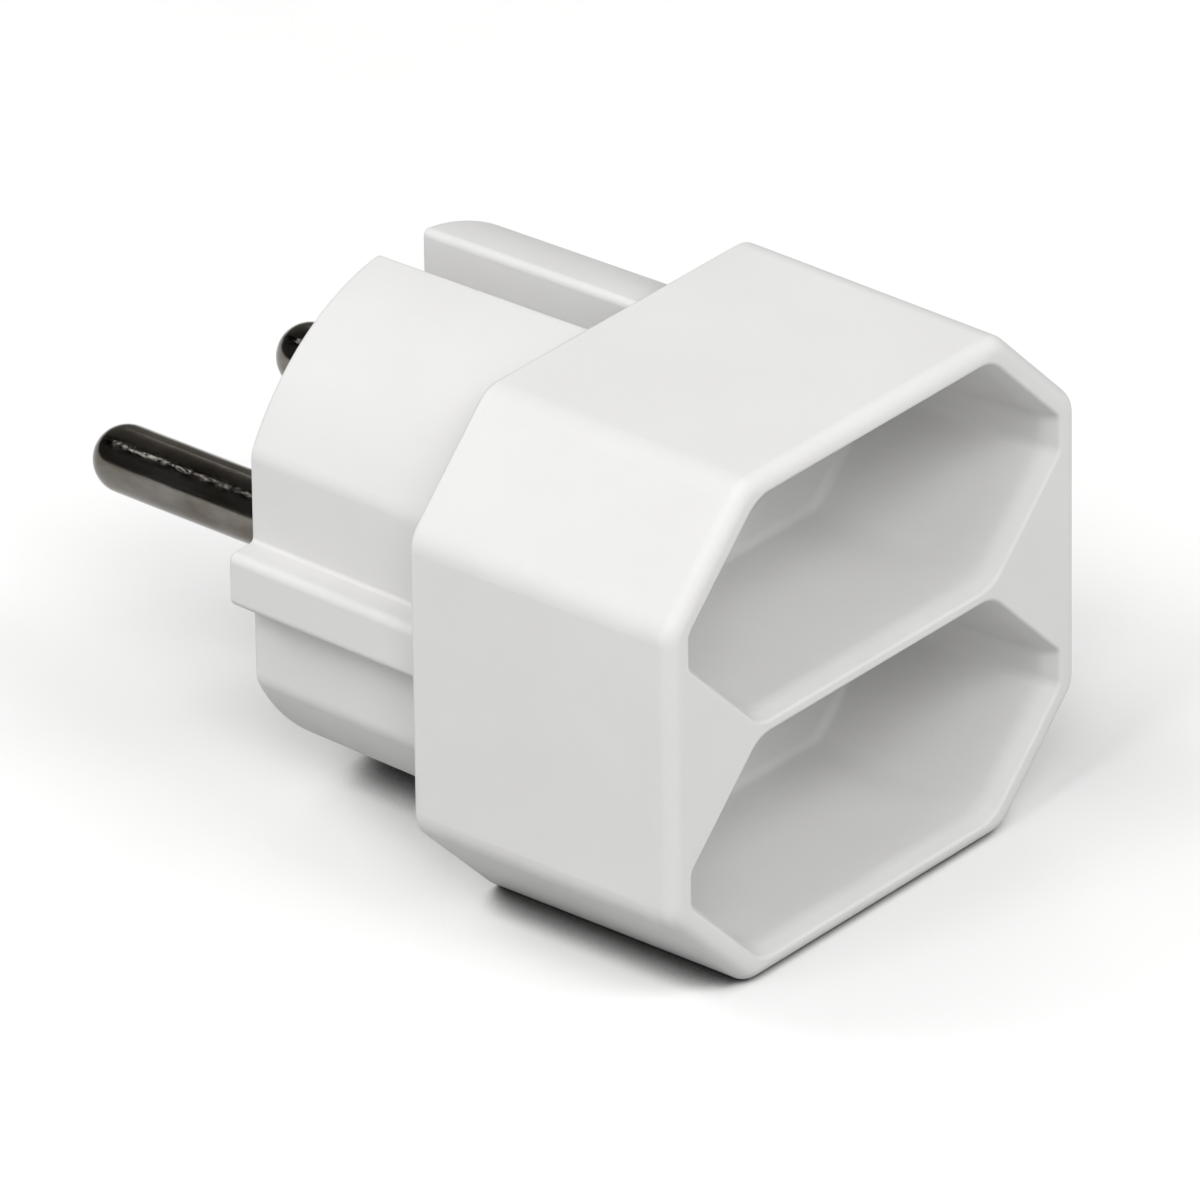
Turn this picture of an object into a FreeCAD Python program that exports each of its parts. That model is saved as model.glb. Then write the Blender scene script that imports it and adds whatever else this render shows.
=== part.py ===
import FreeCAD, Part
import math
import os

# Two-way adapter: a contour plug with two round pins, and a head with two recesses for flat two-pin plugs.
# Millimetres. The origin lies on the pin face, midway between the pins.
# +Y runs along the pins, away from the head. +X runs from pin to pin, and +Z runs from recess to recess.

# Plug body, which enters the wall socket
plug_length = 18.75
plug_half_width = 16.2
plug_arc_radius = 18.12
plug_arc_lift = 0.53
plug_corner_radius = 2.0
plug_draft = 0.34
plug_edge_radius = 0.25
plug_wall = 1.6
pin_wall = 3.0

# Guide ribs on the flats of the plug body
rib_reach = 2.4
rib_half_height = 2.0
rib_edge_radius = 0.65
rib_root_radius = 0.3
rib_embed = 1.0

# Slots that clear a wall socket's earth contacts
slot_width = 4.3
slot_axis_z = 14.4
slot_wall = 1.4
slot_edge_radius = 0.5

# Plug pins, with a collar inside the pin wall and a riveted neck
pin_pitch = 19.0
pin_radius = 2.4
pin_length = 19.0
pin_root_radius = 2.1
pin_root_rise = 0.3
pin_hole_fit = 0.05
collar_radius = 3.6
collar_thickness = 1.5
neck_radius = 1.6
rivet_radius = 2.5
rivet_height = 0.8

# Head, measured at its back, where it is widest
head_depth = 22.2
head_half_width = 21.5
head_half_height = 18.9
head_corner_cut = 8.0
head_corner_radius = 2.5
head_draft = 0.15
head_front_edge_radius = 1.1
head_back_edge_radius = 0.3
skirt_wall = 1.5
ledge_width = 1.5

# Walls round the recesses for the flat plugs, measured at the recess floors
side_wall = 3.45
top_wall = 2.86
partition_wall = 3.5
floor_thickness = 2.0
contact_space = 5.3

# Recesses, which open out towards the front and flare near their mouths
recess_side_half_height = 0.77
recess_flat_corner_radius = 3.0
recess_side_corner_radius = 1.0
recess_floor_radius = 0.7
recess_draft = 0.95
flare_depth = 1.3
flare_reach = 0.42
flare_blend_radius = 2.5
recess_lip_radius = 0.3
apron_margin = 0.9

# Holes for the flat plugs' pins, with guide collars behind the floors
socket_pitch = 19.0
socket_hole_radius = 2.4
socket_lead_in = 0.6
guide_radius = 3.6

# Hollows that lighten the head on each side of the partition
pocket_wall = 1.6
pocket_corner_radius = 0.8

# Lid plate of the plug housing, which closes the back of the head
lid_thickness = 2.2
lid_clearance = 0.15
cavity_half_height = 13.5

# Insulating retainer plate between the lid plate and the guide collars
retainer_thickness = 1.6
retainer_side_gap = 5.3
retainer_top_gap = 3.7
retainer_corner_cut = 4.9
retainer_corner_radius = 1.0
retainer_hole_gap = 0.25

# Contact strips, stamped and folded from brass sheet
strip_thickness = 0.7
strip_bend_radius = 0.5
leaf_width = 4.4
leaf_end_z = 10.3
leaf_base_gap = 4.8
leaf_pinch_gap = 3.5
leaf_mouth_gap = 5.4
leaf_straight = 4.0
leaf_taper = 4.2
leaf_pinch = 3.0
leaf_mouth_clearance = 0.5
pad_length = 3.0

# Spring clips round the leaves
clip_thickness = 0.45
clip_height = 2.4
clip_bend_radius = 0.3
clip_split = 0.9

# Cover screw, its tube in the plug housing and its boss in the head
screw_head_radius = 2.6
screw_head_height = 1.9
screw_head_edge_radius = 0.63
screw_shank_radius = 1.5
screw_core_radius = 1.2
screw_length = 15.5
screw_tip_length = 1.4
screw_seat_depth = 6.0
screw_head_gap = 0.3
screw_shank_gap = 0.2
screw_core_gap = 0.05
driver_slot_width = 0.8
driver_slot_length = 3.2
driver_slot_depth = 1.1
tube_wall = 1.3
tube_length = 14.0
boss_radius = 3.4
boss_gap = 0.2
boss_hole_margin = 1.0

# Recess and retainer sizes that follow from the head and its walls
recess_depth = head_depth - contact_space - floor_thickness
recess_half_width = head_half_width - side_wall
recess_half_height = (head_half_height - top_wall - partition_wall / 2) / 2
recess_pitch = 2 * recess_half_height + partition_wall
recess_corner_cut = recess_half_height - recess_side_half_height
retainer_half_width = head_half_width - retainer_side_gap
retainer_half_height = head_half_height - retainer_top_gap

# Places along Y that follow from the sizes above
head_back = -plug_length
head_front = head_back - head_depth
lid_front = head_back - lid_thickness
retainer_front = lid_front - retainer_thickness
recess_floor = head_front + recess_depth
floor_back = recess_floor + floor_thickness
strip_seat = -pin_wall - collar_thickness
leaf_mouth = lid_front + leaf_mouth_clearance

# Small lengths and shares used by the cutting tools
past_face = 2.0
tiny = 0.01
least_corner_radius = 0.5
edge_reach = 0.2
long_edge_share = 0.8


def point(x, z, y):
    """Point of an outline that lies across Y."""
    return FreeCAD.Vector(x, y, z)


def tangent_corner(before, corner, after, radius):
    """Start, middle and end of the arc that rounds one corner."""
    if radius <= 0:
        return corner, None, corner
    back = (before - corner).normalize()
    ahead = (after - corner).normalize()
    half_angle = back.getAngle(ahead) / 2
    bisector = (back + ahead).normalize()
    run = radius / math.tan(half_angle)
    reach = radius / math.sin(half_angle) - radius
    return corner + back * run, corner + bisector * reach, corner + ahead * run


def rounded_wire(points, radii):
    """Closed wire of straight runs through the points, each corner rounded by its own radius."""
    count = len(points)
    corners = []
    for index in range(count):
        before = points[index - 1]
        after = points[(index + 1) % count]
        corners.append(tangent_corner(before, points[index], after, radii[index]))
    edges = []
    for index, (start, middle, end) in enumerate(corners):
        if middle is not None:
            edges.append(Part.Arc(start, middle, end).toShape())
        next_start = corners[(index + 1) % count][0]
        edges.append(Part.LineSegment(end, next_start).toShape())
    return Part.Wire(edges)


def octagon_wire(half_width, half_height, cut, side_radius, flat_radius, y, z_middle=0.0):
    """Octagon with 45 degree corner cuts, its corners rounded."""
    side_z = half_height - cut
    flat_x = half_width - cut
    corners = [
        (half_width, -side_z), (half_width, side_z), (flat_x, half_height), (-flat_x, half_height),
        (-half_width, side_z), (-half_width, -side_z), (-flat_x, -half_height), (flat_x, -half_height),
    ]
    points = [point(x, z + z_middle, y) for x, z in corners]
    radii = [side_radius, side_radius, flat_radius, flat_radius] * 2
    return rounded_wire(points, radii)


def cut_after_offset(cut, offset):
    """Corner cut of an octagon whose eight sides have all moved out by the offset."""
    return cut + offset * (2 - math.sqrt(2))


def prism(wire, length):
    return Part.Face(wire).extrude(FreeCAD.Vector(0, length, 0))


def as_plane(face):
    """A flat face as a true plane that faces the same way. Other faces stay as they are."""
    plane = face.findPlane()
    if plane is None:
        return face
    flat = Part.Face(plane, face.OuterWire)
    u_low, u_high, v_low, v_high = face.ParameterRange
    outward = face.normalAt((u_low + u_high) / 2, (v_low + v_high) / 2)
    if flat.normalAt(0, 0).dot(outward) < 0:
        flat.reverse()
    return flat


def drafted(wires):
    """Solid between two outlines."""
    loft = Part.makeLoft(wires, True, True)
    solid = Part.Solid(Part.Shell([as_plane(face) for face in loft.Faces]))
    if solid.Volume < 0:
        solid.reverse()
    return solid


def cylinder(radius, y_start, y_end, x=0.0, z=0.0):
    return Part.makeCylinder(radius, y_end - y_start, point(x, z, y_start), FreeCAD.Vector(0, 1, 0))


def edges_at(shape, y):
    """Edges that lie wholly in the plane across Y."""
    return [
        edge for edge in shape.Edges
        if abs(edge.BoundBox.YMin - y) < tiny and abs(edge.BoundBox.YMax - y) < tiny
    ]


def head_section(y, inset):
    """Outline of the head at y, drafted towards the front and moved in by the inset."""
    moved_in = inset + head_draft * (head_back - y) / head_depth
    radius = max(head_corner_radius - moved_in, least_corner_radius)
    return octagon_wire(
        head_half_width - moved_in, head_half_height - moved_in,
        cut_after_offset(head_corner_cut, -moved_in), radius, radius, y)


def recess_section(y, z_middle, extra=0.0):
    """Outline of a recess at y, opening out from its floor to its mouth."""
    moved_out = extra + recess_draft * (recess_floor - y) / recess_depth
    return octagon_wire(
        recess_half_width + moved_out, recess_half_height + moved_out,
        cut_after_offset(recess_corner_cut, moved_out),
        recess_side_corner_radius, recess_flat_corner_radius, y, z_middle)


def recess_tool(z_middle):
    """Space of one recess, with a flare blended into its walls and a rounded lip at the front face."""
    flare_start = head_front + flare_depth
    well = drafted([recess_section(recess_floor, z_middle), recess_section(flare_start, z_middle)])
    flare = drafted([recess_section(flare_start, z_middle), recess_section(head_front, z_middle, flare_reach)])
    apron = prism(recess_section(head_front, z_middle, flare_reach + apron_margin), -past_face)
    tool = well.fuse([flare, apron]).removeSplitter()
    tool = tool.makeFillet(recess_floor_radius, edges_at(tool, recess_floor))
    tool = tool.makeFillet(flare_blend_radius, edges_at(tool, flare_start))
    mouth_half_width = recess_half_width + recess_draft + flare_reach + tiny
    lip = [edge for edge in edges_at(tool, head_front) if edge.BoundBox.XMax < mouth_half_width]
    return tool.makeFillet(recess_lip_radius, lip)


def pocket_wire(y, side):
    """Triangular outline of a hollow between the outer side wall and the two recesses."""
    recess_growth = recess_draft * (recess_floor - y) / recess_depth
    recess_reach = recess_half_width + recess_half_height - recess_corner_cut + recess_growth * math.sqrt(2)
    inner_x = recess_reach + pocket_wall * math.sqrt(2) - recess_pitch / 2
    outer_x = head_half_width - head_draft * (head_back - y) / head_depth - pocket_wall
    rise = outer_x - inner_x
    points = [
        point(side * inner_x, 0, y),
        point(side * outer_x, rise, y),
        point(side * outer_x, -rise, y),
    ]
    return rounded_wire(points, [pocket_corner_radius] * 3)


def socket_places():
    """Centres of the four holes for the flat plugs' pins."""
    return [
        (side * socket_pitch / 2, level * recess_pitch / 2)
        for level in (1, -1) for side in (-1, 1)
    ]


def head_housing():
    """Front moulding: outer skin, two recesses, guide collars, screw boss and a rebate for the lid."""
    body = drafted([head_section(head_back, 0), head_section(head_front, 0)])
    body = body.makeFillet(head_front_edge_radius, edges_at(body, head_front))
    body = body.makeFillet(head_back_edge_radius, edges_at(body, head_back))
    for level in (1, -1):
        body = body.cut(recess_tool(level * recess_pitch / 2))
    rebate = prism(head_section(head_back, skirt_wall), -lid_thickness)
    chamber = prism(head_section(head_back, skirt_wall + ledge_width), floor_back - head_back)
    body = body.cut(rebate.fuse(chamber))
    pocket_end = head_front + pocket_wall
    for side in (-1, 1):
        body = body.cut(drafted([pocket_wire(floor_back, side), pocket_wire(pocket_end, side)]))
    body = body.fuse([
        cylinder(guide_radius, floor_back, retainer_front, x, z) for x, z in socket_places()
    ])
    body = body.fuse(cylinder(boss_radius, floor_back, -tube_length - boss_gap))
    for x, z in socket_places():
        body = body.cut(socket_hole_tool(x, z))
    pilot_radius = screw_core_radius + screw_core_gap
    pilot_end = -screw_seat_depth - screw_length - boss_hole_margin
    body = body.cut(cylinder(pilot_radius, pilot_end, -tube_length))
    return body.removeSplitter()


def socket_hole_tool(x, z):
    """Pin hole through a recess floor and its guide collar, with a lead-in cone."""
    cone = Part.makeCone(
        socket_hole_radius + socket_lead_in, socket_hole_radius, socket_lead_in,
        point(x, z, recess_floor), FreeCAD.Vector(0, 1, 0))
    return cone.fuse(cylinder(socket_hole_radius, recess_floor - past_face, retainer_front + tiny, x, z))


def plug_section(y, inset):
    """Contour outline of the plug body: two flats joined by large arcs, drafted towards the pin face."""
    moved_in = inset + plug_draft * (y - head_back) / plug_length
    half_width = plug_half_width - moved_in
    radius = plug_arc_radius - moved_in
    corner = max(plug_corner_radius - inset, least_corner_radius)
    centre_x = half_width - corner
    centre_rise = math.sqrt((radius - corner) ** 2 - centre_x ** 2)
    centre_z = plug_arc_lift + centre_rise
    scale = radius / (radius - corner)
    join_x = centre_x * scale
    join_z = plug_arc_lift + centre_rise * scale
    bend = (math.pi / 2 + math.atan2(centre_rise, centre_x)) / 2 - math.pi / 4
    middle_x = centre_x + corner * math.cos(bend)
    middle_z = centre_z + corner * math.sin(bend)
    crown = plug_arc_lift + radius

    def arc(start, middle, end):
        return Part.Arc(point(*start, y), point(*middle, y), point(*end, y)).toShape()

    def line(start, end):
        return Part.LineSegment(point(*start, y), point(*end, y)).toShape()

    edges = []
    for turn in (1, -1):
        edges.append(line((turn * half_width, -turn * centre_z), (turn * half_width, turn * centre_z)))
        edges.append(arc(
            (turn * half_width, turn * centre_z), (turn * middle_x, turn * middle_z),
            (turn * join_x, turn * join_z)))
        edges.append(arc((turn * join_x, turn * join_z), (0, turn * crown), (-turn * join_x, turn * join_z)))
        edges.append(arc(
            (-turn * join_x, turn * join_z), (-turn * middle_x, turn * middle_z),
            (-turn * half_width, turn * centre_z)))
    return Part.Wire(edges)


def rib_section(y, side):
    """Outline of a guide rib, its two outer edges rounded."""
    flat_x = plug_half_width - plug_draft * (y - head_back) / plug_length
    corners = [
        (flat_x - rib_embed, -rib_half_height), (flat_x + rib_reach, -rib_half_height),
        (flat_x + rib_reach, rib_half_height), (flat_x - rib_embed, rib_half_height),
    ]
    points = [point(side * x, z, y) for x, z in corners]
    return rounded_wire(points, [0, rib_edge_radius, rib_edge_radius, 0])


def slot_tool(half_width, level, y_start, y_end):
    """Space of an earth slot: a round bottom on the slot's axis, open to the rim."""
    top = plug_arc_radius + plug_arc_lift + past_face
    start = point(half_width, level * slot_axis_z, y_start)
    bottom = point(0, level * (slot_axis_z - half_width), y_start)
    end = point(-half_width, level * slot_axis_z, y_start)
    rim_left = point(-half_width, level * top, y_start)
    rim_right = point(half_width, level * top, y_start)
    wire = Part.Wire([
        Part.Arc(start, bottom, end).toShape(),
        Part.LineSegment(end, rim_left).toShape(),
        Part.LineSegment(rim_left, rim_right).toShape(),
        Part.LineSegment(rim_right, start).toShape(),
    ])
    return prism(wire, y_end - y_start)


def runs_along(edge, x, z_low, z_high):
    """True for an edge along the plug body near the given x, with its middle between the two heights."""
    middle = edge.BoundBox.Center
    long_enough = edge.BoundBox.YLength > long_edge_share * plug_length
    return long_enough and abs(abs(middle.x) - x) < edge_reach and z_low < abs(middle.z) < z_high


def plug_shell():
    """Outside of the plug body with its ribs and slots, all edges rounded."""
    body = drafted([plug_section(head_back, 0), plug_section(0, 0)])
    for side in (-1, 1):
        body = body.fuse(drafted([rib_section(head_back, side), rib_section(0, side)]))
    body = body.removeSplitter()
    rib_root_x = plug_half_width - plug_draft / 2
    roots = [
        edge for edge in body.Edges
        if runs_along(edge, rib_root_x, rib_half_height - edge_reach, rib_half_height + edge_reach)
    ]
    body = body.makeFillet(rib_root_radius, roots)
    for level in (1, -1):
        body = body.cut(slot_tool(slot_width / 2, level, head_back - past_face, past_face))
    rims = [
        edge for edge in body.Edges
        if runs_along(edge, slot_width / 2, slot_axis_z + slot_edge_radius, plug_arc_radius + plug_arc_lift)
    ]
    body = body.makeFillet(slot_edge_radius, rims)
    return body.makeFillet(plug_edge_radius, edges_at(body, 0))


def plug_cavity():
    """Contact chamber inside the plug body, around the slot walls and the screw tube."""
    cavity = drafted([plug_section(lid_front, plug_wall), plug_section(-pin_wall, plug_wall)])
    band = Part.makeBox(
        4 * plug_arc_radius, 4 * plug_arc_radius, 2 * cavity_half_height,
        FreeCAD.Vector(-2 * plug_arc_radius, -3 * plug_arc_radius, -cavity_half_height))
    cavity = cavity.common(band)
    for level in (1, -1):
        cavity = cavity.cut(slot_tool(
            slot_width / 2 + slot_wall, level, lid_front - past_face, 0))
    tube_radius = screw_head_radius + screw_head_gap + tube_wall
    cavity = cavity.cut(cylinder(tube_radius, -tube_length, 0))
    for x, z in strip_pad_places():
        pad = Part.makeBox(
            leaf_base_gap, collar_thickness, pad_length,
            point(x - leaf_base_gap / 2, z - pad_length / 2, strip_seat))
        cavity = cavity.cut(pad)
    return cavity


def strip_pad_places():
    """Middles of the pads under the four ends of the contact strips."""
    return [
        (side * pin_pitch / 2, level * (leaf_end_z - leaf_width / 2))
        for level in (1, -1) for side in (-1, 1)
    ]


def plug_housing():
    """Back moulding: contour plug body, lid plate, screw tube and contact chamber."""
    lid = prism(head_section(head_back, skirt_wall + lid_clearance), -lid_thickness)
    body = plug_shell().fuse(lid).cut(plug_cavity())
    for side in (-1, 1):
        body = body.cut(cylinder(pin_radius + pin_hole_fit, -pin_wall - tiny, past_face, side * pin_pitch / 2))
    body = body.cut(cylinder(screw_head_radius + screw_head_gap, -screw_seat_depth, past_face))
    body = body.cut(cylinder(screw_shank_radius + screw_shank_gap, -tube_length - past_face, 0))
    return body.removeSplitter()


def plug_pin(side):
    """Turned pin with a round tip, a slimmer root through the pin wall, a collar and a riveted neck."""
    tip_centre = pin_length - pin_radius
    rivet_start = strip_seat - strip_thickness
    rivet_end = rivet_start - rivet_height
    profile = [
        (0, rivet_end), (neck_radius, rivet_end), (rivet_radius, rivet_start), (neck_radius, rivet_start),
        (neck_radius, strip_seat), (collar_radius, strip_seat), (collar_radius, -pin_wall),
        (pin_root_radius, -pin_wall), (pin_root_radius, pin_root_rise),
        (pin_radius, pin_root_rise), (pin_radius, tip_centre),
    ]
    points = [FreeCAD.Vector(x, y, 0) for x, y in profile]
    edges = [Part.LineSegment(start, end).toShape() for start, end in zip(points, points[1:])]
    shoulder = pin_radius * math.sqrt(0.5)
    tip = FreeCAD.Vector(0, pin_length, 0)
    edges.append(Part.Arc(points[-1], FreeCAD.Vector(shoulder, tip_centre + shoulder, 0), tip).toShape())
    edges.append(Part.LineSegment(tip, points[0]).toShape())
    pin = Part.Face(Part.Wire(edges)).revolve(FreeCAD.Vector(0, 0, 0), FreeCAD.Vector(0, 1, 0), 360)
    pin.translate(FreeCAD.Vector(side * pin_pitch / 2, 0, 0))
    return pin


def leaf_path():
    """Inner face of one contact leaf, from the fold at the strip to the open mouth."""
    fold = strip_seat - strip_thickness
    taper_start = fold - leaf_straight
    pinch_start = taper_start - leaf_taper
    pinch_end = pinch_start - leaf_pinch
    return [
        (leaf_base_gap / 2, fold), (leaf_base_gap / 2, taper_start), (leaf_pinch_gap / 2, pinch_start),
        (leaf_pinch_gap / 2, pinch_end), (leaf_mouth_gap / 2, leaf_mouth),
    ]


def offset_path(path, thickness):
    """Outer face of a folded sheet: the path moved to its right-hand side, with mitred corners."""
    moved = []
    for index, corner in enumerate(path):
        normals = []
        for start, end in ((index - 1, index), (index, index + 1)):
            if start < 0 or end >= len(path):
                continue
            run = path[end] - path[start]
            normals.append(FreeCAD.Vector(run.y, -run.x, 0).normalize())
        middle = (normals[0] + normals[-1]).normalize()
        moved.append(corner + middle * (thickness / middle.dot(normals[0])))
    return moved


def leaf_pair(x, z_start):
    """Folded fork of two leaves that grips one pin of a flat plug."""
    right = [FreeCAD.Vector(reach, y, 0) for reach, y in leaf_path()]
    left = [FreeCAD.Vector(-reach, y, 0) for reach, y in leaf_path()]
    inner = right[::-1] + left
    outer = offset_path(inner, strip_thickness)
    radii_inner = fold_radii(inner, strip_bend_radius, strip_thickness)
    radii_outer = fold_radii(outer[::-1], strip_bend_radius, strip_thickness)
    wire = rounded_wire(inner + outer[::-1], radii_inner + radii_outer)
    fork = Part.Face(wire).extrude(FreeCAD.Vector(0, 0, leaf_width))
    fork.translate(FreeCAD.Vector(x, 0, z_start))
    return fork


def fold_radii(path, inside_radius, thickness):
    """Bend radius at each corner of one face of the sheet: larger where the face is outside the bend."""
    radii = [0.0]
    for before, corner, after in zip(path, path[1:], path[2:]):
        turn = (corner - before).cross(after - corner).z
        radii.append(inside_radius if turn > 0 else inside_radius + thickness)
    return radii + [0.0]


def contact_strip(side):
    """Brass strip that joins one pin to its two sockets."""
    x = side * pin_pitch / 2
    width = leaf_base_gap + 2 * strip_thickness
    plate = Part.makeBox(
        width, strip_thickness, 2 * (leaf_end_z - leaf_width),
        FreeCAD.Vector(x - width / 2, strip_seat - strip_thickness, leaf_width - leaf_end_z))
    strip = plate.fuse([leaf_pair(x, leaf_end_z - leaf_width), leaf_pair(x, -leaf_end_z)])
    strip = strip.cut(cylinder(neck_radius + pin_hole_fit, strip_seat - past_face, strip_seat + past_face, x))
    return strip.removeSplitter()


def spring_clip(x, level):
    """Split steel band round one pair of leaves, flat against both."""
    inner_x = leaf_pinch_gap / 2 + strip_thickness
    inner_z = leaf_width / 2 + clip_bend_radius
    middle_z = level * (leaf_end_z - leaf_width / 2)
    pinch_start = leaf_path()[2][1]
    start = pinch_start - leaf_pinch / 2 - clip_height / 2
    band = prism(band_wire(inner_x, inner_z, clip_thickness, middle_z, start), clip_height)
    band = band.cut(prism(band_wire(inner_x, inner_z, 0, middle_z, start), clip_height))
    band.translate(FreeCAD.Vector(x, 0, 0))
    split = Part.makeBox(
        clip_split, clip_height + 2 * past_face, 2 * inner_z,
        FreeCAD.Vector(x - clip_split / 2, start - past_face, middle_z - inner_z * (1 + level)))
    return band.cut(split)


def band_wire(inner_x, inner_z, growth, middle_z, y):
    """Rounded outline of a clip's band, moved out from its inner face by the growth."""
    corners = [(1, -1), (1, 1), (-1, 1), (-1, -1)]
    points = [
        point((inner_x + growth) * x, middle_z + (inner_z + growth) * z, y) for x, z in corners
    ]
    return rounded_wire(points, [clip_bend_radius + growth] * 4)


def contact_retainer():
    """Insulating plate that keeps the contacts in the plug housing, with a hole for each pin and the boss."""
    plate = prism(
        octagon_wire(
            retainer_half_width, retainer_half_height, retainer_corner_cut,
            retainer_corner_radius, retainer_corner_radius, retainer_front),
        retainer_thickness)
    for x, z in socket_places():
        plate = plate.cut(cylinder(
            socket_hole_radius + retainer_hole_gap, retainer_front - past_face, lid_front + past_face, x, z))
    return plate.cut(cylinder(
        boss_radius + retainer_hole_gap, retainer_front - past_face, lid_front + past_face))


def cover_screw():
    """Pan head screw with a cross slot, a plain shank and a threaded core with a point."""
    seat = -screw_seat_depth
    core_start = -tube_length
    end = seat - screw_length
    profile = [
        (0, end), (screw_core_radius, end + screw_tip_length), (screw_core_radius, core_start),
        (screw_shank_radius, core_start), (screw_shank_radius, seat), (screw_head_radius, seat),
        (screw_head_radius, seat + screw_head_height), (0, seat + screw_head_height),
    ]
    points = [FreeCAD.Vector(x, y, 0) for x, y in profile]
    wire = Part.makePolygon(points + points[:1])
    screw = Part.Face(wire).revolve(FreeCAD.Vector(0, 0, 0), FreeCAD.Vector(0, 1, 0), 360)
    rim = [edge for edge in edges_at(screw, seat + screw_head_height) if edge.Length > screw_head_radius]
    screw = screw.makeFillet(screw_head_edge_radius, rim)
    for length_x, length_z in ((driver_slot_length, driver_slot_width), (driver_slot_width, driver_slot_length)):
        screw = screw.cut(Part.makeBox(
            length_x, driver_slot_depth + past_face, length_z,
            point(-length_x / 2, -length_z / 2, seat + screw_head_height - driver_slot_depth)))
    return screw


def write(name, shape):
    solids = shape.Solids
    if len(solids) != 1 or not solids[0].isValid():
        print("Check", name, "solids", len(solids), "valid", shape.isValid())
    solids[0].exportStep("parts/" + name + ".step")


os.makedirs("parts", exist_ok=True)
write("head_housing", head_housing())
write("plug_housing", plug_housing())
write("contact_retainer", contact_retainer())
write("cover_screw", cover_screw())
for side_name, side in (("left", -1), ("right", 1)):
    write("pin_" + side_name, plug_pin(side))
    write("contact_strip_" + side_name, contact_strip(side))
    for level_name, level in (("upper", 1), ("lower", -1)):
        write("spring_clip_" + level_name + "_" + side_name, spring_clip(side * pin_pitch / 2, level))
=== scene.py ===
import math

import bpy
from mathutils import Matrix, Vector


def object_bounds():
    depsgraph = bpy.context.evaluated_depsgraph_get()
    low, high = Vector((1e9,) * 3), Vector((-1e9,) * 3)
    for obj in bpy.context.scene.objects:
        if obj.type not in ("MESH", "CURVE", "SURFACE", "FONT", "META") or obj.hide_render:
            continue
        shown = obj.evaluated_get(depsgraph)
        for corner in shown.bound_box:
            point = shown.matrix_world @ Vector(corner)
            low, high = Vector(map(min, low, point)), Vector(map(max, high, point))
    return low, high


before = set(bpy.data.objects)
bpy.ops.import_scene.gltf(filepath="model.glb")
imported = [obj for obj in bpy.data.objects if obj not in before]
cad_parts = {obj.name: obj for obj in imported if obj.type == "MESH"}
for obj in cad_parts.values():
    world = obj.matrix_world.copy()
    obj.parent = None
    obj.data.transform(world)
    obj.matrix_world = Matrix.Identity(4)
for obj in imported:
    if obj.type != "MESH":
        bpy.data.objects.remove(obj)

cad_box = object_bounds()
head_front, table_level = cad_box[0].y, cad_box[0].z
MM = 0.001
MICRON = 0.000001

# Camera at the photo's angle: degrees, then millimetres
CAMERA_AZIMUTH, CAMERA_ELEVATION, CAMERA_ROLL = -49.80, 28.55, -0.79
CAMERA_TARGET, CAMERA_DISTANCE = (0, -10.74, 0), 1199.0
CAMERA_RIGHT, CAMERA_UP = 4.84, -4.95
FOCAL_LENGTH, SENSOR_WIDTH = 535.9, 36.0

# Direction across the scuffed line of a pin, and the line's half widths where it is full and where it ends
SCUFF_ACROSS_X, SCUFF_ACROSS_Z = 0.78, 0.62
SCUFF_FULL, SCUFF_END = 0.20, 0.60

# Painted contact shade: the floor's colour darkens where the part lies within this reach in millimetres,
# between these open shares of the sky
CONTACT_REACH, CONTACT_SHARES = 4.2, (0.20, 0.46)
# From this far before the head's front face to this far behind it, that painted shade grows from a small
# share
FADE_BEFORE, FADE_BEHIND, FRONT_SHARE = 1.05, 1.45, 0.18
# The floor's colour is painted a little darker round a spot before the head, a painted shade which fades
# out between these radii
SPOT_X, SPOT_BEFORE, SPOT_RADII = -6, 7.05, (8, 60)
# Half of the floor's side, in metres
FLOOR_HALF_SIDE = 3.0

# Softboxes: elevation and azimuth in degrees, with azimuth from +X towards +Y, then watts
SOFTBOXES = (
    (45, 225, 4.00), (45, 270, 4.20), (45, 180, 5.20),
    (65, 135, 1.55), (20, 315, 3.85), (15, 270, 0.50),
    (45, 30, 1.20), (20, 180, 0.90), (20, 225, 1.90),
    (20, 0, 0.40), (45, 120, 3.00),
)
# All lights face one point, given in millimetres, from this distance in metres
LIGHT_TARGET, LIGHT_DISTANCE, SOFTBOX_SIDE = (0, -20, 0), 1.15, 0.5
# Where a softbox's direction has this much +Y, the side that the pins point to, nothing mirrors it
MIRROR_LIMIT_Y = 0.5
# A small light for the thin glint along the pins, which only mirrors show
GLINT_DIRECTION, GLINT_SIDE, GLINT_WATTS = (-0.307, 0.567, 0.753), 0.08, 0.17


def make_camera():
    azimuth, elevation, roll = (
        math.radians(angle) for angle in (CAMERA_AZIMUTH, CAMERA_ELEVATION, CAMERA_ROLL))
    back = Vector((
        math.sin(azimuth) * math.cos(elevation),
        -math.cos(azimuth) * math.cos(elevation),
        math.sin(elevation)))
    right = Vector((math.cos(azimuth), math.sin(azimuth), 0))
    up = back.cross(right)
    rolled_right = right * math.cos(roll) + up * math.sin(roll)
    rolled_up = up * math.cos(roll) - right * math.sin(roll)
    data = bpy.data.cameras.new("camera")
    data.sensor_width = SENSOR_WIDTH
    data.lens = FOCAL_LENGTH
    data.clip_start, data.clip_end = 0.05, 20
    camera = bpy.data.objects.new("camera", data)
    bpy.context.scene.collection.objects.link(camera)
    axes = Matrix((rolled_right, rolled_up, back)).transposed().to_4x4()
    place = (
        Vector(CAMERA_TARGET) * MM + rolled_right * (CAMERA_RIGHT * MM)
        + rolled_up * (CAMERA_UP * MM) + back * (CAMERA_DISTANCE * MM))
    camera.matrix_world = Matrix.Translation(place) @ axes
    bpy.context.scene.camera = camera


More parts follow.
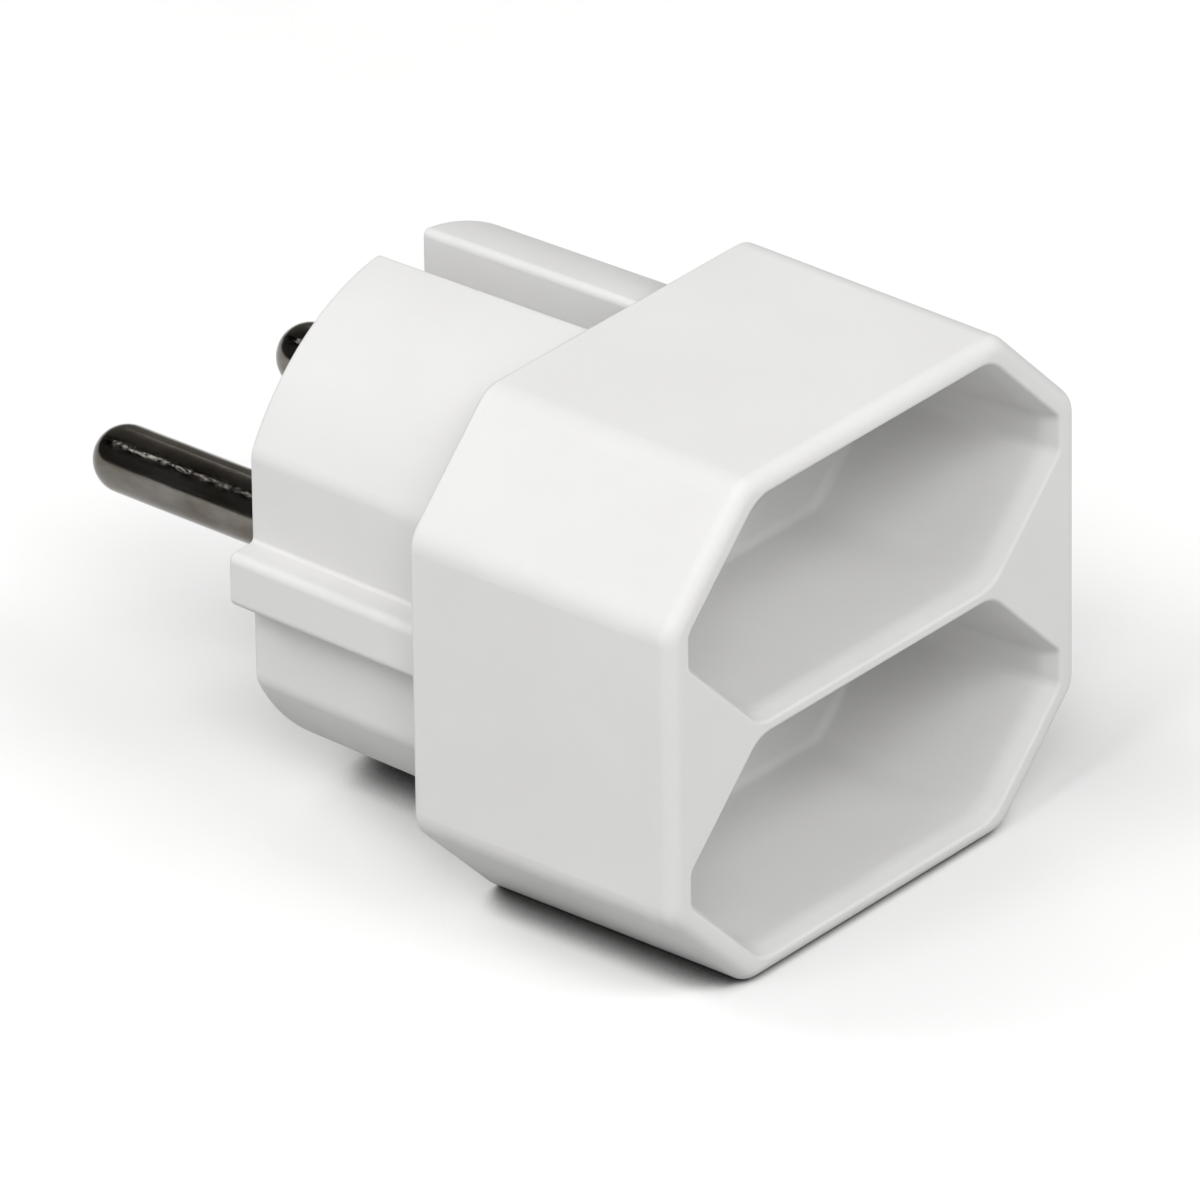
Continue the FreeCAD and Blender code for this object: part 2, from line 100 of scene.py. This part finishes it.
class Nodes:
    """Short ways to lay out a node tree."""

    def __init__(self, tree):
        self.tree = tree
        tree.nodes.clear()

    def add(self, kind, **values):
        node = self.tree.nodes.new(kind)
        for name, value in values.items():
            setattr(node, name, value)
        return node

    def link(self, source, target):
        self.tree.links.new(source, target)

    def place(self):
        """Object coordinates in metres."""
        return self.add("ShaderNodeTexCoord").outputs["Object"]

    def split(self, vector):
        """The X, Y and Z outputs of a vector."""
        node = self.add("ShaderNodeSeparateXYZ")
        self.link(vector, node.inputs[0])
        return node.outputs

    def stretched(self, source, scale):
        """Coordinates for noise with this many grains to a metre along X, Y and Z."""
        node = self.add("ShaderNodeMapping")
        node.inputs["Scale"].default_value = scale
        self.link(source, node.inputs["Vector"])
        return node.outputs["Vector"]

    def noise(self, source, scale=1.0, detail=2.0, roughness=0.5, distortion=0.0):
        """Noise with this many grains to a metre, or the grains of its stretched source."""
        node = self.add("ShaderNodeTexNoise")
        node.inputs["Scale"].default_value = scale
        node.inputs["Detail"].default_value = detail
        node.inputs["Roughness"].default_value = roughness
        node.inputs["Distortion"].default_value = distortion
        self.link(source, node.inputs["Vector"])
        return node.outputs["Fac"]

    def fit(self, source, old_range, new_range=(0.0, 1.0)):
        """The source's old range stretched over the new one, and held at its ends."""
        node = self.add("ShaderNodeMapRange")
        names = ("From Min", "From Max", "To Min", "To Max")
        for name, value in zip(names, (*old_range, *new_range)):
            node.inputs[name].default_value = value
        self.link(source, node.inputs["Value"])
        return node.outputs["Result"]

    def maths(self, operation, first, second=0.0):
        node = self.add("ShaderNodeMath", operation=operation)
        for socket, value in zip(node.inputs, (first, second)):
            if isinstance(value, (int, float)):
                socket.default_value = value
            else:
                self.link(value, socket)
        return node.outputs[0]

    def blend(self, factor, first, second):
        """The first colour where the factor is 0 and the second where it is 1."""
        node = self.add("ShaderNodeMix", data_type="RGBA")
        self.link(factor, node.inputs[0])
        for socket, value in ((node.inputs[6], first), (node.inputs[7], second)):
            if isinstance(value, tuple):
                socket.default_value = (*value, 1.0)
            else:
                self.link(value, socket)
        return node.outputs[2]

    def bump(self, height, distance, strength=1.0, before=None):
        node = self.add("ShaderNodeBump")
        node.inputs["Distance"].default_value = distance
        node.inputs["Strength"].default_value = strength
        self.link(height, node.inputs["Height"])
        if before is not None:
            self.link(before, node.inputs["Normal"])
        return node.outputs["Normal"]

    def surface(self, colour, roughness, normal, **numbers):
        shader = self.add("ShaderNodeBsdfPrincipled")
        self.link(colour, shader.inputs["Base Color"])
        self.link(roughness, shader.inputs["Roughness"])
        self.link(normal, shader.inputs["Normal"])
        for name, value in numbers.items():
            shader.inputs[name.replace("_", " ")].default_value = value
        output = self.add("ShaderNodeOutputMaterial")
        self.link(shader.outputs[0], output.inputs["Surface"])


def new_material(name):
    material = bpy.data.materials.new(name)
    material.use_nodes = True
    return material, Nodes(material.node_tree)


def housing_material():
    """White moulded plastic: a fine satin grain, faint flow clouds and a few hairline handling marks."""
    material, n = new_material("housing_plastic")
    place = n.place()
    clouds = n.noise(place, scale=90, detail=3, roughness=0.55)
    colour = n.blend(n.fit(clouds, (0.3, 0.7)), (0.637, 0.633, 0.624), (0.660, 0.658, 0.653))
    specks = n.noise(place, scale=1400, roughness=0.6)
    colour = n.blend(n.fit(specks, (0.68, 0.8), (0, 0.25)), colour, (0.58, 0.575, 0.56))
    sheen = n.noise(place, scale=260, detail=3, roughness=0.6)
    roughness = n.fit(sheen, (0.3, 0.7), (0.50, 0.60))
    ripple = n.noise(place, scale=160, detail=1)
    grain = n.noise(place, scale=5200)
    marks = n.noise(n.stretched(place, (900, 60, 900)), scale=3.0, roughness=0.6, distortion=0.4)
    normal = n.bump(ripple, 40 * MICRON, 0.5)
    normal = n.bump(grain, 6 * MICRON, 0.6, normal)
    normal = n.bump(n.fit(marks, (0.70, 0.78), (0, -1)), 4 * MICRON, 0.5, normal)
    n.surface(colour, roughness, normal, IOR=1.5, Specular_IOR_Level=0.18)
    return material


def middle_x(name):
    """The middle of a node along X, in metres."""
    across = [vertex.co.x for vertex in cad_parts[name].data.vertices]
    return (min(across) + max(across)) / 2


def pin_material():
    """Nickel plated brass with warm thin spots, hairlines along the pin and a line scuffed by contacts."""
    material, n = new_material("pin_nickel")
    place = n.place()
    patches = n.noise(n.stretched(place, (420, 200, 420)), detail=4, roughness=0.6)
    colour = n.blend(n.fit(patches, (0.36, 0.64)), (0.195, 0.186, 0.172), (0.118, 0.104, 0.088))
    hairlines = n.noise(n.stretched(place, (5200, 240, 5200)), detail=3, roughness=0.7, distortion=0.2)
    roughness = n.fit(hairlines, (0.3, 0.75), (0.11, 0.23))
    # Distance from the middle of the scuffed line, measured across it
    x, _, z = n.split(place)
    pin_x = n.maths("MULTIPLY", n.maths("SIGN", x), middle_x("pin_right"))
    sideways = n.maths("MULTIPLY", n.maths("SUBTRACT", x, pin_x), SCUFF_ACROSS_X)
    across = n.maths("ADD", sideways, n.maths("MULTIPLY", z, SCUFF_ACROSS_Z))
    line = n.fit(n.maths("ABSOLUTE", across), (SCUFF_FULL * MM, SCUFF_END * MM), (1, 0))
    pieces = n.noise(n.stretched(place, (3400, 1500, 3400)), detail=4, roughness=0.7)
    worn = n.maths("MULTIPLY", n.fit(pieces, (0.47, 0.53)), line)
    colour = n.blend(worn, colour, (0.02, 0.019, 0.018))
    scuffs = n.noise(n.stretched(place, (3300, 2300, 3300)), detail=3, roughness=0.6)
    dents = n.noise(n.stretched(place, (900, 260, 900)))
    normal = n.bump(dents, 40 * MICRON, 0.4)
    normal = n.bump(hairlines, 5 * MICRON, 0.5, normal)
    normal = n.bump(n.maths("MULTIPLY", scuffs, line), 24 * MICRON, 1.0, normal)
    n.surface(colour, roughness, normal, Metallic=1.0)
    return material


def brass_material():
    """Rolled brass sheet with faint rolling lines and dull patches."""
    material, n = new_material("contact_brass")
    place = n.place()
    patches = n.noise(place, scale=300, detail=3, roughness=0.6)
    colour = n.blend(n.fit(patches, (0.35, 0.7)), (0.68, 0.47, 0.19), (0.50, 0.33, 0.13))
    lines = n.noise(n.stretched(place, (4000, 4000, 90)), roughness=0.6)
    roughness = n.fit(lines, (0.3, 0.7), (0.22, 0.42))
    n.surface(colour, roughness, n.bump(lines, 4 * MICRON, 0.5), Metallic=1.0)
    return material


def steel_material(name, bright, dull, roughness_range):
    """Rolled or plated steel, slightly mottled."""
    material, n = new_material(name)
    place = n.place()
    mottle = n.noise(place, scale=700, detail=3, roughness=0.6)
    colour = n.blend(n.fit(mottle, (0.35, 0.65)), bright, dull)
    streaks = n.noise(n.stretched(place, (2500, 300, 2500)), roughness=0.6)
    roughness = n.fit(streaks, (0.3, 0.7), roughness_range)
    n.surface(colour, roughness, n.bump(streaks, 4 * MICRON, 0.5), Metallic=1.0)
    return material


def retainer_material():
    """Matt insulating board with a fine fibre."""
    material, n = new_material("retainer_board")
    place = n.place()
    fibre = n.noise(n.stretched(place, (1800, 1800, 400)), detail=3, roughness=0.6)
    colour = n.blend(n.fit(fibre, (0.35, 0.65)), (0.33, 0.30, 0.25), (0.42, 0.39, 0.33))
    roughness = n.fit(fibre, (0.3, 0.7), (0.6, 0.8))
    n.surface(colour, roughness, n.bump(fibre, 10 * MICRON, 0.5))
    return material


def dress_nodes():
    housing = housing_material()
    pin = pin_material()
    brass = brass_material()
    clip = steel_material("spring_steel", (0.46, 0.46, 0.48), (0.36, 0.36, 0.38), (0.2, 0.35))
    screw = steel_material("screw_steel", (0.60, 0.60, 0.57), (0.44, 0.44, 0.43), (0.25, 0.42))
    board = retainer_material()
    by_start = {
        "pin": pin, "contact_strip": brass, "spring_clip": clip,
        "cover_screw": screw, "contact_retainer": board,
    }
    for name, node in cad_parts.items():
        found = [material for start, material in by_start.items() if name.startswith(start)]
        for holder in node.material_slots:
            holder.material = found[0] if found else housing


def floor_material():
    """Pale card with painted contact shade close under the part and a painted darker spot before the head,
    that throws less light back at the part than it shows.
    """
    material, n = new_material("floor_card")
    place = n.place()
    clouds = n.noise(place, scale=25)
    pale = n.blend(n.fit(clouds, (0.3, 0.7)), (0.885, 0.885, 0.882), (0.905, 0.905, 0.902))
    from_spot = n.add("ShaderNodeVectorMath", operation="DISTANCE")
    n.link(place, from_spot.inputs[0])
    from_spot.inputs[1].default_value = (SPOT_X * MM, head_front - SPOT_BEFORE * MM, table_level)
    spot_shade = n.fit(from_spot.outputs["Value"], [radius * MM for radius in SPOT_RADII], (1, 0))
    # Painted shade: a slightly darker floor colour round the spot before the head
    pale = n.blend(spot_shade, pale, (0.868, 0.868, 0.865))
    # Painted contact shade: the floor's colour is darkened by how closed the sky is near the part
    sky = n.add("ShaderNodeAmbientOcclusion", samples=8)
    sky.inputs["Distance"].default_value = CONTACT_REACH * MM
    closed_share = n.maths("SUBTRACT", 1.0, n.fit(sky.outputs["AO"], CONTACT_SHARES))
    fade = (head_front - FADE_BEFORE * MM, head_front + FADE_BEHIND * MM)
    depth = n.fit(n.split(place)["Y"], fade, (FRONT_SHARE, 1))
    painted_contact_shade = n.maths("MULTIPLY", closed_share, depth)
    path = n.add("ShaderNodeLightPath")
    seen = n.maths("MAXIMUM", path.outputs["Is Camera Ray"], path.outputs["Is Glossy Ray"])
    colour = n.blend(seen, (0.45, 0.45, 0.45), pale)
    # Painted contact shade: the floor's colour goes near black where the part closes over it, less just
    # past the head's front face
    colour = n.blend(painted_contact_shade, colour, (0.035, 0.034, 0.032))
    fibre = n.noise(place, scale=2500, roughness=0.6)
    roughness = n.fit(fibre, (0.3, 0.7), (0.85, 0.95))
    n.surface(colour, roughness, n.bump(fibre, 6 * MICRON, 0.3), Specular_IOR_Level=0.15)
    return material


def make_floor():
    side, z = FLOOR_HALF_SIDE, table_level
    mesh = bpy.data.meshes.new("floor")
    corners = [(-side, -side, z), (side, -side, z), (side, side, z), (-side, side, z)]
    mesh.from_pydata(corners, [], [(0, 1, 2, 3)])
    mesh.materials.append(floor_material())
    floor = bpy.data.objects.new("floor", mesh)
    bpy.context.scene.collection.objects.link(floor)


def make_world():
    """A faint dome, a little brighter on the side that the pins point to, and warm towards +X there."""
    world = bpy.data.worlds.new("studio")
    bpy.context.scene.world = world
    world.use_nodes = True
    n = Nodes(world.node_tree)
    x, y, _ = n.split(n.add("ShaderNodeTexCoord").outputs["Generated"])
    right_glow = n.fit(x, (0.05, 0.85), (0.0, 0.24))
    ahead = n.fit(y, (0.35, 0.60))
    ahead_colour = n.blend(right_glow, (0.075, 0.073, 0.070), (1.0, 0.93, 0.82))
    dome = n.blend(ahead, (0.04, 0.04, 0.04), ahead_colour)
    seen = n.add("ShaderNodeLightPath").outputs["Is Camera Ray"]
    background = n.add("ShaderNodeBackground")
    n.link(n.blend(seen, dome, (0.93, 0.93, 0.93)), background.inputs["Color"])
    background.inputs["Strength"].default_value = 1.0
    output = n.add("ShaderNodeOutputWorld")
    n.link(background.outputs[0], output.inputs["Surface"])


def add_softbox(name, away, side, watts):
    """A square light that faces the part from the direction away."""
    data = bpy.data.lights.new(name, "AREA")
    data.shape = "SQUARE"
    data.size = side
    data.energy = watts
    light = bpy.data.objects.new(name, data)
    bpy.context.scene.collection.objects.link(light)
    light.location = away * LIGHT_DISTANCE
    facing = Vector(LIGHT_TARGET) * MM - light.location
    light.rotation_euler = facing.to_track_quat("-Z", "Y").to_euler()
    return light


def make_lights():
    for elevation, azimuth, watts in SOFTBOXES:
        rise, turn = math.radians(elevation), math.radians(azimuth)
        away = Vector((
            math.cos(turn) * math.cos(rise), math.sin(turn) * math.cos(rise), math.sin(rise)))
        name = "softbox_%d_%d" % (elevation, azimuth)
        light = add_softbox(name, away, SOFTBOX_SIDE, watts)
        light.visible_glossy = away.y < MIRROR_LIMIT_Y
    glint = add_softbox("glint", Vector(GLINT_DIRECTION), GLINT_SIDE, GLINT_WATTS)
    glint.visible_diffuse = False


make_camera()
dress_nodes()
make_floor()
make_world()
make_lights()
bpy.context.scene.view_settings.view_transform = "Standard"
bpy.context.scene.view_settings.look = "None"
